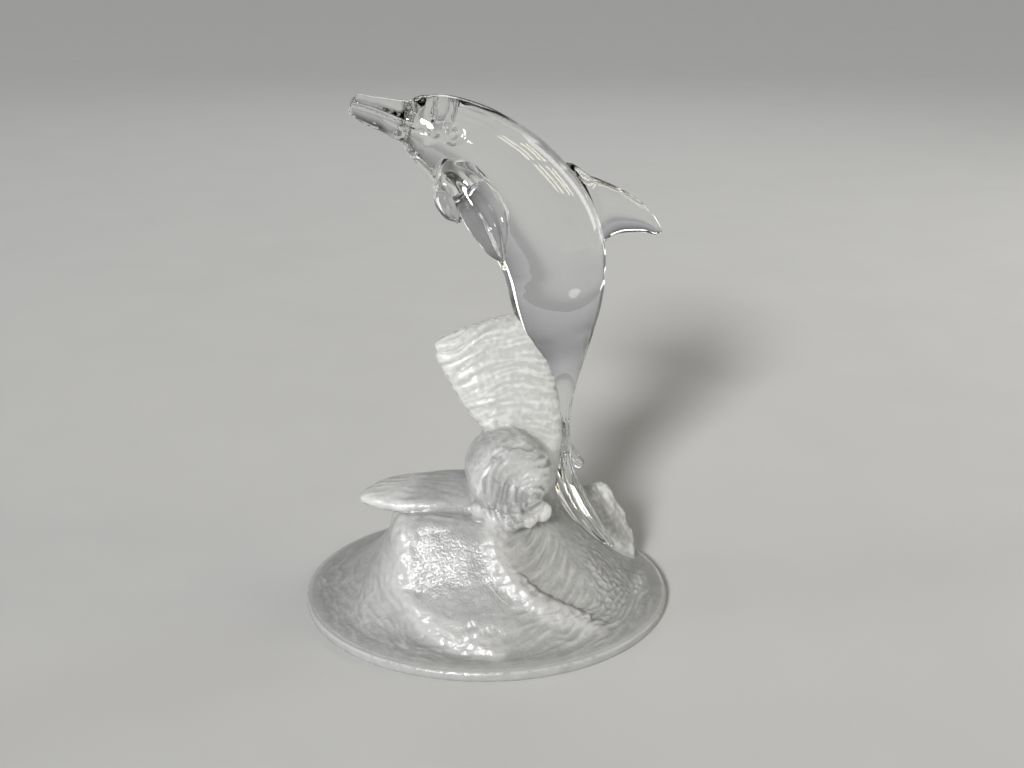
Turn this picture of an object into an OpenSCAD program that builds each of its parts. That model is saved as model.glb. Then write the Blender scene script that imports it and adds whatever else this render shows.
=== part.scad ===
// Crystal figurine: a clear dolphin leaping from a frosted, sculpted sea on a round foot.
// Millimetres, Z up. The origin is the centre of the foot's underside.
// The dolphin's nose points to -X, its back to +X and its left side to -Y.

/* [Foot] */
// Diameter of the round foot.
foot_diameter = 112; // [110:0.5:120]
// Height of the plain rim under the sculpted sea.
foot_height = 3; // [2.5:0.1:3.4]
// Radius of the eased edges of the rim.
foot_edge = 0.8; // [0.4:0.1:1]

/* [Sea] */
// Height of the mound of sea above the foot.
swell_height = 34; // [31:0.5:36]
// Height of the small ripples on the mound.
ripple_height = 0.45; // [0.2:0.05:0.6]
// Radius of the rolled curl of wave.
curl_radius = 12.5; // [11.5:0.1:13.5]
// Number of ribs across the standing wave.
wave_ribs = 7; // [4:1:9]

/* [Dolphin] */
// Thickness of the fins at their roots, as a share of the drawn one.
fin_fullness = 1; // [0.8:0.05:1.2]
// Radius of each raised eye.
eye_radius = 1.6; // [1.3:0.1:1.9]

/* [Hidden] */

foot_radius = foot_diameter / 2;
swell_radius = foot_radius - foot_edge;
frosted = [0.86, 0.88, 0.87, 0.75];
clear = [0.85, 0.92, 0.95, 0.5];
body_sides = 32;
blade_sides = 16;

// ---------------------------------------------------------------- curves and lofts

function clamp(v, low, high) = min(max(v, low), high);
function soft_step(v) = let (t = clamp(v, 0, 1)) t * t * (3 - 2 * t);
function bump(v) = exp(-v * v);

// The point at t, from 0 to len(p) - 1, on the smooth curve through the points p.
function smooth_at(p, t) =
  let (
    last = len(p) - 1,
    i = min(floor(t), last - 1),
    f = t - i,
    b = p[i],
    c = p[i + 1],
    a = i > 0 ? p[i - 1] : 2 * b - c,
    d = i < last - 1 ? p[i + 2] : 2 * c - b
  )
  0.5 * (2 * b + (c - a) * f + (2 * a - 5 * b + 4 * c - d) * f * f
         + (3 * b - a - 3 * c + d) * f * f * f);

// steps + 1 points along the smooth curve through p.
function smooth(p, steps) = [for (i = [0:steps]) smooth_at(p, i * (len(p) - 1) / steps)];

function middle(ring) = [for (k = [0:2]) [for (q = ring) 1] * [for (q = ring) q[k]] / len(ring)];

// A closed solid through rings of equal length, closed by a fan at each end.
module loft(rings) {
  m = len(rings);
  n = len(rings[0]);
  polyhedron(
    points = concat([for (r = rings) each r], [middle(rings[0]), middle(rings[m - 1])]),
    faces = concat(
      [for (i = [0:m - 2], j = [0:n - 1]) each
        let (a = i * n + j, b = i * n + (j + 1) % n) [[a, a + n, b], [b, a + n, b + n]]],
      [for (j = [0:n - 1]) [m * n, j, (j + 1) % n]],
      [for (j = [0:n - 1]) [m * n + 1, (m - 1) * n + (j + 1) % n, (m - 1) * n + j]]
    )
  );
}

// A leaf-like blade between two edge curves. thick holds the half thickness along it and cup
// how far its middle bows to one side.
module blade(one, other, thick, steps, cup = 0) {
  a = smooth(one, steps);
  b = smooth(other, steps);
  h = smooth(thick, steps);
  loft([
    for (i = [0:steps])
      let (
        before = max(i - 1, 0),
        after = min(i + 1, steps),
        run = (a[after] + b[after]) - (a[before] + b[before]),
        across = b[i] - a[i],
        n = cross(run, across),
        out = n / norm(n)
      )
      [
        for (j = [0:blade_sides - 1])
          let (t = -360 * j / blade_sides, w = (1 - cos(t)) / 2)
          a[i] + across * w + out * (h[i][0] * sin(t) + cup * 4 * w * (1 - w))
      ]
  ]);
}

// The first child with the others cut out of it, so that neighbours meet face to face.
module carved() {
  resize([0, 0, 0]) difference() {
    children(0);
    children([1:$children - 1]);
  }
}

// ---------------------------------------------------------------- sea

// Distance from the middle of the mound at which the front left lip runs, by bearing.
function lip_distance(bearing) = 27 + 16 * soft_step((bearing - 180) / 75);

function swell_top(x, y) =
  let (
    r = norm([x, y]),
    bearing = (atan2(y, x) + 360) % 360,
    mound = swell_height * (1 + cos(180 * clamp((r - 2) / (swell_radius - 2), 0, 1))) / 2,
    inside = bearing > 180 && bearing < 300
      ? soft_step((bearing - 180) / 12) * soft_step((300 - bearing) / 45)
      : 0,
    terrace = 3.2 * inside * soft_step((lip_distance(bearing) - r + 3) / 4)
      - 1.2 * inside * bump((r - lip_distance(bearing) - 5) / 4),
    hollow = -2.4 * bump(norm([(x - 9) / 8, (y + 24) / 11])),
    right_ridge = 2.2 * bump((x - 0.45 * (y + 22) - 42) / 2.5) * bump((y + 14) / 9),
    left_shelf = 5 * bump(norm([(x + 24) / 12, (y + 2) / 12])),
    ripples = ripple_height * sin(360 * (r + bearing / 51.4) / 7) * soft_step((r - 18) / 8)
      * soft_step((swell_radius - r) / 6)
  )
  foot_height + 0.6 * soft_step((swell_radius - r) / 3)
    + max(mound + terrace + hollow + right_ridge + left_shelf + ripples, 0);

module sea_mound() {
  rings = 26;
  turns = 80;
  inner = [for (i = [1:rings], j = [0:turns - 1])
    let (r = swell_radius * i / rings, t = 360 * j / turns, x = r * cos(t), y = r * sin(t))
    [x, y, i == rings ? foot_height + 0.05 : swell_top(x, y)]];
  n = len(inner);
  base = [for (j = [0:turns - 1])
    let (t = 360 * j / turns) [swell_radius * cos(t), swell_radius * sin(t), foot_height]];
  polyhedron(
    points = concat(inner, base, [[0, 0, swell_top(0, 0)], [0, 0, foot_height]]),
    faces = concat(
      [for (j = [0:turns - 1]) [n + turns, (j + 1) % turns, j]],
      [for (i = [0:rings - 1], j = [0:turns - 1]) each
        let (a = i * turns + j, b = i * turns + (j + 1) % turns)
        [[a, b, b + turns], [a, b + turns, a + turns]]],
      [for (j = [0:turns - 1]) [n + j, n + (j + 1) % turns, n + turns + 1]]
    )
  );
}

module left_lip_form() {
  blade(
    [[-20, 2, 27], [-22, -6, 26], [-25, -14, 21], [-25, -22, 17], [-20, -29, 14], [-12, -35, 11.5],
     [-4, -39.6, 7.6]],
    [[-29, 2, 29], [-32, -6, 22], [-34, -14, 17], [-33, -21.5, 14], [-29, -29.5, 11.5], [-21, -36, 9.2],
     [-6, -41, 6.6]],
    [[3], [3], [2.9], [2.6], [2.2], [1.6], [0.6]],
    22
  );
}

module front_lip_form() {
  blade(
    [[3, -8, 35], [2, -15, 33], [1.5, -22, 27.5], [2, -28, 22], [6, -32, 17.5], [12, -35, 13.5],
     [22, -37.6, 8.2]],
    [[-5, -8, 34], [-6, -16, 32], [-6.5, -23, 26.5], [-6, -29.5, 20.5], [-2, -35, 15], [6, -39.5, 11],
     [20, -40.4, 7]],
    [[2.6], [2.6], [2.6], [2.5], [2.2], [1.7], [0.5]],
    22
  );
}

module crest_form() {
  blade(
    [[-4, -16.5, 32.5], [-11, -15.8, 34.8], [-21, -14.5, 36.5], [-30, -12, 36.3], [-36.5, -8, 36.8],
     [-39.3, -5, 36.8]],
    [[-4, 9.8, 34.5], [-11, 9.5, 36], [-21, 8, 37.5], [-30, 5.5, 38.2], [-36.5, 1, 37.6],
     [-39.6, -2.5, 37]],
    [[8], [6.6], [5], [4.2], [2.8], [1]],
    20
  );
}

module curl_form() {
  stops = [[1, 7.5], [-3, 10.2], [-8, 11.8], [-13, 12.4], [-18, 12.2], [-21.6, 11], [-24, 9],
           [-25.2, 6.4], [-24.6, 3.6], [-23.8, 1]];
  loft([
    for (s = smooth(stops, 20))
      let (r = s[1] * curl_radius / 12.5)
      [
        for (j = [0:31])
          let (
            t = 11.25 * j,
            low = soft_step((-sin(t) - 0.1) / 0.6),
            scallop = 0.7 * low * sin(8 * t)
          )
          [3.6 + (r + scallop) * cos(t), s[0], 46 + (r + scallop) * sin(t)]
      ]
  ]);
}

module froth_form() {
  for (b = [
    [-5.6, -19, 36.6, 3.4], [-1.6, -21, 34.6, 3.6], [3, -21.6, 33.6, 4], [7.8, -21, 33.4, 3.6],
    [12, -18.6, 34, 3.8],
  ])
    translate([b[0], b[1], b[2]]) scale([1, 1, 0.85]) sphere(r = b[3], $fn = 18);
}

module standing_form() {
  // height, left end, right end, middle in y, half thickness
  levels = [
    [28, -13, 22, -2, 9.5], [36, -9, 22, -2.5, 9.5], [44, -5.5, 22, -3, 9], [51, -3, 22.5, -3, 8.6],
    [56, -2.4, 22.5, -2.5, 8.2], [61, -6, 22, -2, 7.8], [66, -9.2, 21, -1.4, 7.4],
    [71, -11.8, 19.6, -0.8, 6.9], [76, -14, 18, -0.2, 6.3], [80, -15.6, 16, 0, 5.6],
    [83, -15.6, 14, 0, 4.4], [84.6, -13.5, 12, 0, 2.6],
  ];
  loft([
    for (s = smooth(levels, 38))
      [
        for (j = [0:25])
          let (
            t = 360 / 26 * j,
            w = (1 + cos(t)) / 2,
            x = s[1] + (s[2] - s[1]) * w,
            rise = 0.2 * soft_step((s[0] - 50) / 30) * (x + 15),
            rib = 0.45 * sin(360 * wave_ribs * (s[0] - 50) / 34 + 3 * x)
              * soft_step((s[0] - 52) / 6) * soft_step((84 - s[0]) / 4),
            side = sin(t) * pow(abs(sin(t)) + 0.001, -0.25),
            bow = 3 * (1 - w) * (1 - w)
          )
          [x, s[3] - bow + (s[4] + rib) * side, s[0] + rise]
      ]
  ]);
}

module splash_form() {
  blade(
    [[12, 10, 30], [22, 10, 31], [30, 10, 30], [34.8, 10, 29.1], [38.8, 10, 29.8], [42.8, 10, 27.7],
     [44.4, 10, 23.2], [47.4, 9.6, 19.2], [48.2, 9, 15.2], [50.2, 8, 11.5], [50.4, 6, 6.5]],
    [[13, 8, 12], [20, 8, 12], [26, 8, 11], [31, 8, 9], [34.5, 7.5, 8], [38, 7, 7],
     [41, 6.8, 6], [44, 6.4, 5], [46.4, 6, 4.4], [48.4, 5.4, 3.8], [49.6, 4.6, 3.4]],
    [[5], [5], [4.6], [4.4], [4.2], [4], [3.6], [3.2], [2.6], [1.8], [0.8]],
    40
  );
}

// ---------------------------------------------------------------- dolphin

// Middle of the body in x and z, half depth from back to belly, half width from side to side.
body_line = [
  [-37.6, 152.5, 1.3, 1.2], [-37.1, 152.3, 2.5, 2.3], [-35.6, 151.8, 3.4, 3.1],
  [-31.4, 150.2, 4.2, 3.9], [-28, 149.2, 4.7, 4.5], [-24, 147.8, 5.7, 5.7], [-19.6, 146.5, 8.2, 8],
  [-15.2, 144.8, 10.4, 9.8], [-10.6, 142.5, 11.9, 11], [-5.2, 139.2, 13.3, 12],
  [0.2, 135.4, 14.1, 12.8], [5.5, 130.9, 15.1, 13.6], [10.8, 125, 15.9, 14.2],
  [15.3, 118.8, 16.4, 14.6], [18.5, 112.8, 16.3, 14.6], [20.5, 106.5, 15.7, 14.2],
  [21.4, 100.3, 14.8, 13.5], [21.7, 94.2, 13.9, 12.6], [22, 87.6, 12.3, 11],
  [22.6, 82.4, 10.5, 9.2], [23.3, 75.8, 7.6, 6.8], [23.6, 68.8, 5, 4.9], [23.7, 61.5, 3.3, 3.7],
  [23.6, 55.6, 2.6, 3.4], [23.7, 50.5, 2.5, 4.2], [24.6, 45.5, 2.2, 5.6], [26, 42.5, 1.4, 5],
];

module body_form() {
  steps = 48;
  line = smooth(body_line, steps);
  loft([
    for (i = [0:steps])
      let (
        s = line[i],
        run = line[min(i + 1, steps)] - line[max(i - 1, 0)],
        back = [-run[1], 0, run[0]] / norm([run[0], run[1]])
      )
      [
        for (j = [0:body_sides - 1])
          let (t = -360 * j / body_sides)
          [s[0], 0, s[1]] + back * s[2] * cos(t) + [0, s[3] * sin(t), 0]
      ]
  ]);
}

// Everything under the line of the mouth, as far back as the corner of the jaw.
module jaw_space() {
  rotate([90, 0, 0]) linear_extrude(height = 24, center = true) polygon([
    [-41, 152.6], [-36.5, 152.3], [-32.7, 151.3], [-28.3, 149.4], [-24.5, 147.7], [-20.5, 146.2],
    [-17.6, 145], [-19.4, 142.2], [-22.6, 138.4], [-30, 140], [-41, 147],
  ]);
}

module dorsal_form() {
  blade(
    [[20, 0, 129], [26.5, 0, 132.4], [32.9, 0, 129.6], [38.5, 0, 127.1], [43.6, 0, 124.3],
     [48.2, 0, 121], [51.6, 0, 117.1], [53.7, 0, 113.8]],
    [[27, 0, 104], [33, 0, 107.5], [36.6, 0, 110.8], [40.4, 0, 112.4], [44.4, 0, 112.6],
     [48.4, 0, 112.4], [51.6, 0, 111.5], [53.8, 0, 112.3]],
    [[4.4], [3.8], [3.1], [2.7], [2.4], [2], [1.4], [0.6]] * fin_fullness,
    24
  );
}

module left_pectoral_form() {
  blade(
    [[-8.5, -8, 138], [-4.6, -13, 134], [0.2, -16, 129.6], [2.8, -18, 124.8], [3, -19.4, 120],
     [2.2, -20.4, 115.2], [1.2, -21, 111.8]],
    [[-10.5, -8, 130], [-11.2, -12.6, 128.4], [-10.6, -15.6, 124.6], [-8.8, -18, 120.2],
     [-6.6, -19.6, 116.8], [-3.6, -20.6, 113], [-0.6, -21, 110.6]],
    [[4], [3.2], [2.6], [2.3], [2], [1.5], [0.6]] * fin_fullness,
    22, -1
  );
}

module right_pectoral_form() {
  blade(
    [[-8.5, 8, 138], [-5.2, 12.6, 134.4], [-1, 15.6, 130.4], [1.2, 18, 126], [1.2, 19.6, 121.2],
     [-0.2, 20.8, 117], [-2.6, 21.4, 114.4]],
    [[-10.5, 8, 130], [-11.6, 12.4, 128.8], [-12.2, 15.4, 125.6], [-11.8, 17.8, 121.8],
     [-10.2, 19.6, 118.2], [-7.6, 20.8, 115.2], [-4.4, 21.4, 113.6]],
    [[4], [3.2], [2.6], [2.3], [2], [1.5], [0.6]] * fin_fullness,
    22, 1
  );
}

module left_fluke_form() {
  blade(
    [[22.5, 0, 56], [19.9, -3, 47.5], [18.9, -6, 41.6], [19.8, -9.5, 36], [22.4, -13, 30.6],
     [26, -16, 26.4], [30.2, -18.6, 22.9], [34, -20.4, 21.4]],
    [[25, 0, 55], [24.9, -1.4, 48.5], [25.6, -4, 43], [27.6, -8, 37.6], [29.8, -11.6, 32.8],
     [31.8, -15, 28.4], [33.6, -18.2, 24.6], [35, -20.4, 22.2]],
    [[2.4], [2.4], [2.3], [2.1], [1.9], [1.7], [1.3], [0.6]] * fin_fullness,
    26, 0.6
  );
}

module right_fluke_form() {
  blade(
    [[22.5, 0, 56], [22.8, 4, 47.5], [24.4, 8.5, 42], [27, 13, 37.5], [30.2, 17, 33.6],
     [33.6, 20.6, 31], [36.4, 23.4, 29.6]],
    [[25, 0, 55], [26.6, 3, 48.6], [29.6, 7.5, 44], [32.2, 12, 40.4], [34.6, 16.4, 37.2],
     [36.6, 20.4, 34.2], [38, 23.6, 31.2]],
    [[2.4], [2.3], [2.1], [1.9], [1.7], [1.4], [0.8]] * fin_fullness,
    24, -0.6
  );
}

// ---------------------------------------------------------------- sub-parts

module foot_disc() {
  color(frosted) rotate_extrude($fn = 128) polygon([
    [0, 0], [foot_radius - foot_edge, 0], [foot_radius, foot_edge],
    [foot_radius, foot_height - foot_edge], [foot_radius - foot_edge, foot_height], [0, foot_height],
  ]);
}

module sea_swell() {
  color(frosted) carved() {
    sea_mound();
    left_fluke_form();
    right_fluke_form();
  }
}

module front_left_wave_lip() {
  color(frosted) carved() {
    left_lip_form();
    sea_mound();
    crest_form();
  }
}

module front_wave_lip() {
  color(frosted) carved() {
    front_lip_form();
    sea_mound();
    crest_form();
    curl_form();
    froth_form();
    standing_form();
  }
}

module left_wave_crest() {
  color(frosted) carved() {
    crest_form();
    sea_mound();
    curl_form();
    froth_form();
    standing_form();
  }
}

module wave_curl() {
  color(frosted) carved() {
    curl_form();
    sea_mound();
    body_form();
    left_fluke_form();
    standing_form();
  }
}

module curl_foam() {
  color(frosted) carved() {
    froth_form();
    curl_form();
    sea_mound();
    standing_form();
  }
}

module standing_wave() {
  color(frosted) carved() {
    standing_form();
    sea_mound();
    body_form();
    left_fluke_form();
    right_fluke_form();
  }
}

module rear_splash() {
  color(frosted) carved() {
    splash_form();
    sea_mound();
    standing_form();
    body_form();
    left_fluke_form();
    right_fluke_form();
  }
}

module dolphin_body() {
  color(clear) carved() {
    body_form();
    jaw_space();
  }
}

module lower_jaw() {
  color(clear) resize([0, 0, 0]) intersection() {
    body_form();
    jaw_space();
  }
}

module dorsal_fin() {
  color(clear) carved() {
    dorsal_form();
    body_form();
  }
}

module left_pectoral_fin() {
  color(clear) carved() {
    left_pectoral_form();
    body_form();
  }
}

module right_pectoral_fin() {
  color(clear) carved() {
    right_pectoral_form();
    body_form();
  }
}

module left_fluke() {
  color(clear) carved() {
    left_fluke_form();
    body_form();
  }
}

module right_fluke() {
  color(clear) carved() {
    right_fluke_form();
    body_form();
    left_fluke_form();
  }
}

module eye(side) {
  color(clear) carved() {
    translate([-10.8, side * 10.3, 144.7]) sphere(r = eye_radius, $fn = 20);
    body_form();
  }
}

module left_eye() {
  eye(-1);
}

module right_eye() {
  eye(1);
}

foot_disc();
sea_swell();
front_left_wave_lip();
front_wave_lip();
left_wave_crest();
wave_curl();
curl_foam();
standing_wave();
rear_splash();
dolphin_body();
lower_jaw();
dorsal_fin();
left_pectoral_fin();
right_pectoral_fin();
left_fluke();
right_fluke();
left_eye();
right_eye();
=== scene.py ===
"""Looks of the crystal dolphin on its frosted sea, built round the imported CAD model.

The real figurine is one casting, so its whole skin is made first as one closed surface: clear and
smooth where the dolphin is, frosted and chiselled where the sea is. Cutters then part it along the
CAD nodes' seams. Every piece is closed, the pieces meet face to face, and the cut faces carry a
material that light passes straight through, so the glass still refracts as one body.

Shapes are worked out in millimetres and made in metres, in the frame's axes: Z up, the dolphin's
nose to -X, its back to +X and its left side to -Y.
"""

import math

import bmesh
import bpy
import numpy as np
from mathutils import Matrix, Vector
from mathutils.kdtree import KDTree


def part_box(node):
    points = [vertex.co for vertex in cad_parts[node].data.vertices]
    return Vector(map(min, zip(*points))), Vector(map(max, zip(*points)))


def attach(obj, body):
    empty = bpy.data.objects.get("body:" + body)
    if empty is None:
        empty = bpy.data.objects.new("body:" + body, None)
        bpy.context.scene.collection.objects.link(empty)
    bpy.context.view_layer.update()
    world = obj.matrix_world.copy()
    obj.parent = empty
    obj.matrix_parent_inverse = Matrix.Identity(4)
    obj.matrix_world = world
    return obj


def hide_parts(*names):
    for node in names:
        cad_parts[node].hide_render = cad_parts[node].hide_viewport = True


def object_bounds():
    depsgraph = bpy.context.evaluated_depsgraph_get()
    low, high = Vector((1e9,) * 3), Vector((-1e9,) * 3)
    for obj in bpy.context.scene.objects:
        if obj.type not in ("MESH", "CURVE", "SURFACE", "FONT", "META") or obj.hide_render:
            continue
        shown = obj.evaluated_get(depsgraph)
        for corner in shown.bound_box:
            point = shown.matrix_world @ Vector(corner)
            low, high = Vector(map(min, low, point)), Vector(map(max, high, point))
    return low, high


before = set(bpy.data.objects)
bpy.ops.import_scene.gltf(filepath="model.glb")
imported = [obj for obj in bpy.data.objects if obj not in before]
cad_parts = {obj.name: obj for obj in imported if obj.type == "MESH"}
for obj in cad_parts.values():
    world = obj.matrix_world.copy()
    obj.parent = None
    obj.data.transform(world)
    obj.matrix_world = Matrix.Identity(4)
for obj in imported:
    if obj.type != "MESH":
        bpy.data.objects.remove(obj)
cad_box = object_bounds()
scene = bpy.context.scene
MM = 0.001

# The photograph's viewpoint: a little above the object, slightly towards its nose.
camera = bpy.data.objects.new("camera", bpy.data.cameras.new("camera"))
camera.location = (-0.0829, -0.3901, 0.1973)
camera.rotation_euler = (math.radians(90 - 17.87), 0, math.radians(-13.13))
camera.data.lens = 49.22
camera.data.clip_start = 0.01
scene.collection.objects.link(camera)
scene.camera = camera

CLEAR, FROSTED, SEAM, CRINKLED = 0, 1, 2, 3  # material slots that every glass mesh has
SKIN_GAP = 0.03  # how far a cutter stands off the skin that it follows, in mm

FOOT_RADIUS = (cad_box[1].x - cad_box[0].x) / 2 / MM
FOOT_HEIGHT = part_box("foot_disc")[1].z / MM
FOOT_EDGE = 0.8
SWELL_HEIGHT = 34.0
SWELL_RADIUS = FOOT_RADIUS - FOOT_EDGE
CORE = 0.5  # radius of the innermost ring of a turned form


# ------------------------------------------------------------------ curves, noise and lofts


def soft_step(v):
    """Eases from 0 to 1 as v goes from 0 to 1."""
    t = np.clip(v, 0, 1)
    return t * t * (3 - 2 * t)


def bump(v):
    """1 where v is 0, falling off like a bell."""
    return np.exp(-np.square(v))


def unit(v):
    """Vectors of length 1 in the same directions."""
    return v / np.linalg.norm(v, axis=-1, keepdims=True)


def smooth_curve(points, t):
    """The points at t, from 0 to len(points) - 1, on the smooth curve through the points."""
    p = np.asarray(points, float)
    p = np.vstack([2 * p[0] - p[1], p, 2 * p[-1] - p[-2]])
    i = np.clip(np.floor(t).astype(int), 0, len(p) - 4)
    f = (t - i)[:, None]
    a, b, c, d = p[i], p[i + 1], p[i + 2], p[i + 3]
    bend = 2 * a - 5 * b + 4 * c - d
    return 0.5 * (2 * b + (c - a) * f + bend * f**2 + (3 * b - a - 3 * c + d) * f**3)


class Noise:
    """Smooth noise in space, from about -1 to 1, that repeats only after 64 cells."""

    CELLS = 64
    SHIFT = 1000.37  # keeps the object clear of the cells' corners
    GAIN = 1.6

    def __init__(self, seed):
        rng = np.random.RandomState(seed)
        self.slope = unit(rng.normal(size=(self.CELLS,) * 3 + (3,)))

    def __call__(self, points, size):
        p = np.asarray(points, float) / size + self.SHIFT
        cell = np.floor(p).astype(int)
        f = p - cell
        ease = f**3 * (f * (f * 6 - 15) + 10)
        total = np.zeros(len(p))
        for corner in np.ndindex(2, 2, 2):
            k = np.array(corner)
            at = (cell + k) % self.CELLS
            slope = self.slope[at[:, 0], at[:, 1], at[:, 2]]
            weight = np.prod(np.where(k, ease, 1 - ease), axis=1)
            total += weight * np.einsum("ij,ij->i", slope, f - k)
        return total * self.GAIN


grain, swirl, lump = Noise(11), Noise(23), Noise(37)


def points_of(mesh):
    p = np.empty(len(mesh.vertices) * 3)
    mesh.vertices.foreach_get("co", p)
    return p.reshape(-1, 3) / MM


def normals_of(mesh):
    n = np.empty(len(mesh.vertices) * 3)
    mesh.vertex_normals.foreach_get("vector", n)
    return n.reshape(-1, 3)


def set_points(mesh, points):
    mesh.vertices.foreach_set("co", (points * MM).ravel())
    mesh.update()


def new_object(name, points, faces, slot):
    """A mesh object with these points in mm, all its faces in one material slot."""
    mesh = bpy.data.meshes.new(name)
    mesh.from_pydata((np.asarray(points) * MM).tolist(), [], faces)
    for m in SLOTS:
        mesh.materials.append(m)
    mesh.polygons.foreach_set("material_index", [slot] * len(mesh.polygons))
    mesh.polygons.foreach_set("use_smooth", [True] * len(mesh.polygons))
    mesh.update()
    made = bpy.data.objects.new(name, mesh)
    scene.collection.objects.link(made)
    return made


def signed_volume(points, faces):
    """Volume of a closed mesh of triangles and quads, below 0 where its faces look inwards."""
    total = 0.0
    for size in (3, 4):
        f = np.array([q for q in faces if len(q) == size])
        for k in range(1, size - 1):
            if len(f):
                a, b, c = points[f[:, 0]], points[f[:, k]], points[f[:, k + 1]]
                total += np.einsum("ij,ij->", a, np.cross(b, c)) / 6
    return total


def loft(name, rings, slot=CLEAR):
    """A closed solid through rings of equal length, closed by a fan at each end."""
    m, n = rings.shape[:2]
    points = np.vstack([rings.reshape(-1, 3), rings[0].mean(0), rings[-1].mean(0)])
    i, j = np.meshgrid(np.arange(m - 1), np.arange(n), indexing="ij")
    a, b = i * n + j, i * n + (j + 1) % n
    faces = np.stack([a, b, b + n, a + n], -1).reshape(-1, 4).tolist()
    k = np.arange(n)
    after = (k + 1) % n
    faces += np.stack([np.full(n, m * n), after, k], -1).tolist()
    faces += np.stack([np.full(n, m * n + 1), (m - 1) * n + k, (m - 1) * n + after], -1).tolist()
    if signed_volume(points, faces) < 0:
        faces = [f[::-1] for f in faces]
    return new_object(name, points, faces, slot)


def rounded_ends(rings, start=0.0, end=0.0, steps=5):
    """The rings with a rounded cap of the given length in mm before the first or after the last."""
    out = [rings]
    for reach, edge, inner, before in ((start, 0, 1, True), (end, -1, -2, False)):
        if not reach:
            continue
        ring, middle = rings[edge], rings[edge].mean(0)
        way = unit(middle - rings[inner].mean(0))
        turn = np.linspace(0, math.pi / 2, steps + 1)[1:] * 0.97
        cap = np.stack([middle + (ring - middle) * math.cos(q) + way * reach * math.sin(q) for q in turn])
        if before:
            out.insert(0, cap[::-1])
        else:
            out.append(cap)
    return np.concatenate(out)


def blade_rings(one, other, thick, steps, sides, cup=0.0, relief=None, grow=0.0):
    """Rings of a leaf-like blade between two edge curves. thick holds the half thickness along it,
    cup how far its middle bows to one side, and relief(along, across) adds to both its faces.
    grow in mm makes it larger every way, for a cutter that clears the blade's own relief."""
    t = np.linspace(0, len(one) - 1, steps + 1)
    a, b = smooth_curve(one, t), smooth_curve(other, t)
    h = smooth_curve(np.array(thick, float)[:, None], t) + grow
    run = np.gradient(a + b, axis=0)
    out = unit(np.cross(run, b - a))
    reach = unit(b - a) * grow
    a, b = a - reach, b + reach
    turn = -2 * math.pi * np.arange(sides) / sides
    w = (1 - np.cos(turn)) / 2
    off = h * np.sin(turn) + cup * 4 * w * (1 - w)
    if relief:
        along = np.repeat(t[:, None], sides, 1)
        across = np.repeat(w[None], steps + 1, 0)
        off = off + relief(along, across) * np.sin(turn)
    rings = a[:, None] + (b - a)[:, None] * w[None, :, None] + out[:, None] * off[..., None]
    return rounded_ends(rings, grow, grow)


def ball_rings(steps, sides):
    """Rings of a ball of radius 1, from its lowest point to its highest."""
    polar = np.linspace(0.05, math.pi - 0.05, steps)[:, None]
    turn = 2 * math.pi * np.arange(sides)[None] / sides
    around = np.sin(polar)
    return np.stack([around * np.cos(turn), around * np.sin(turn), np.cos(polar) + 0 * turn], -1)


# ------------------------------------------------------------------ work on meshes


def apply_modifiers(obj):
    """Puts the mesh that the modifiers make in place of the object's own."""
    seen = bpy.context.evaluated_depsgraph_get()
    made = bpy.data.meshes.new_from_object(obj.evaluated_get(seen), depsgraph=seen)
    old = obj.data
    obj.modifiers.clear()
    obj.data = made
    bpy.data.meshes.remove(old)


def combine(obj, other, operation):
    """Makes obj its union with, difference from or overlap with other; both are closed meshes."""
    mod = obj.modifiers.new("combine", "BOOLEAN")
    mod.operation, mod.solver, mod.object = operation, "MANIFOLD", other
    apply_modifiers(obj)


def duplicate(obj, name):
    made = bpy.data.objects.new(name, obj.data.copy())
    made.data.name = name
    scene.collection.objects.link(made)
    return made


def remove(*objs):
    for o in objs:
        mesh = o.data
        bpy.data.objects.remove(o)
        bpy.data.meshes.remove(mesh)


def as_cutter(form):
    """The form, with all its faces made seam faces."""
    form.data.polygons.foreach_set("material_index", [SEAM] * len(form.data.polygons))
    return form


def inflated(obj, name, by):
    """A copy of obj whose skin stands by mm further out, as a cutter."""
    made = duplicate(obj, name)
    set_points(made.data, points_of(made.data) + normals_of(made.data) * by)
    return as_cutter(made)


def take(whole, cutter, name):
    """Takes the part of whole that lies in the cutter off it, as a new object, and ends the cutter."""
    part = duplicate(whole, name)
    combine(part, cutter, "INTERSECT")
    combine(whole, cutter, "DIFFERENCE")
    remove(cutter)
    return part


def loose_parts(obj):
    """For each vertex, the number of the connected part that it belongs to."""
    mesh = obj.data
    edges = np.empty(len(mesh.edges) * 2, int)
    mesh.edges.foreach_get("vertices", edges)
    edges = edges.reshape(-1, 2)
    part = np.arange(len(mesh.vertices))
    while True:
        low = np.minimum(part[edges[:, 0]], part[edges[:, 1]])
        new = part.copy()
        np.minimum.at(new, edges[:, 0], low)
        np.minimum.at(new, edges[:, 1], low)
        new = new[new]
        if np.array_equal(new, part):
            return part
        part = new


# ------------------------------------------------------------------ the dolphin's forms

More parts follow.
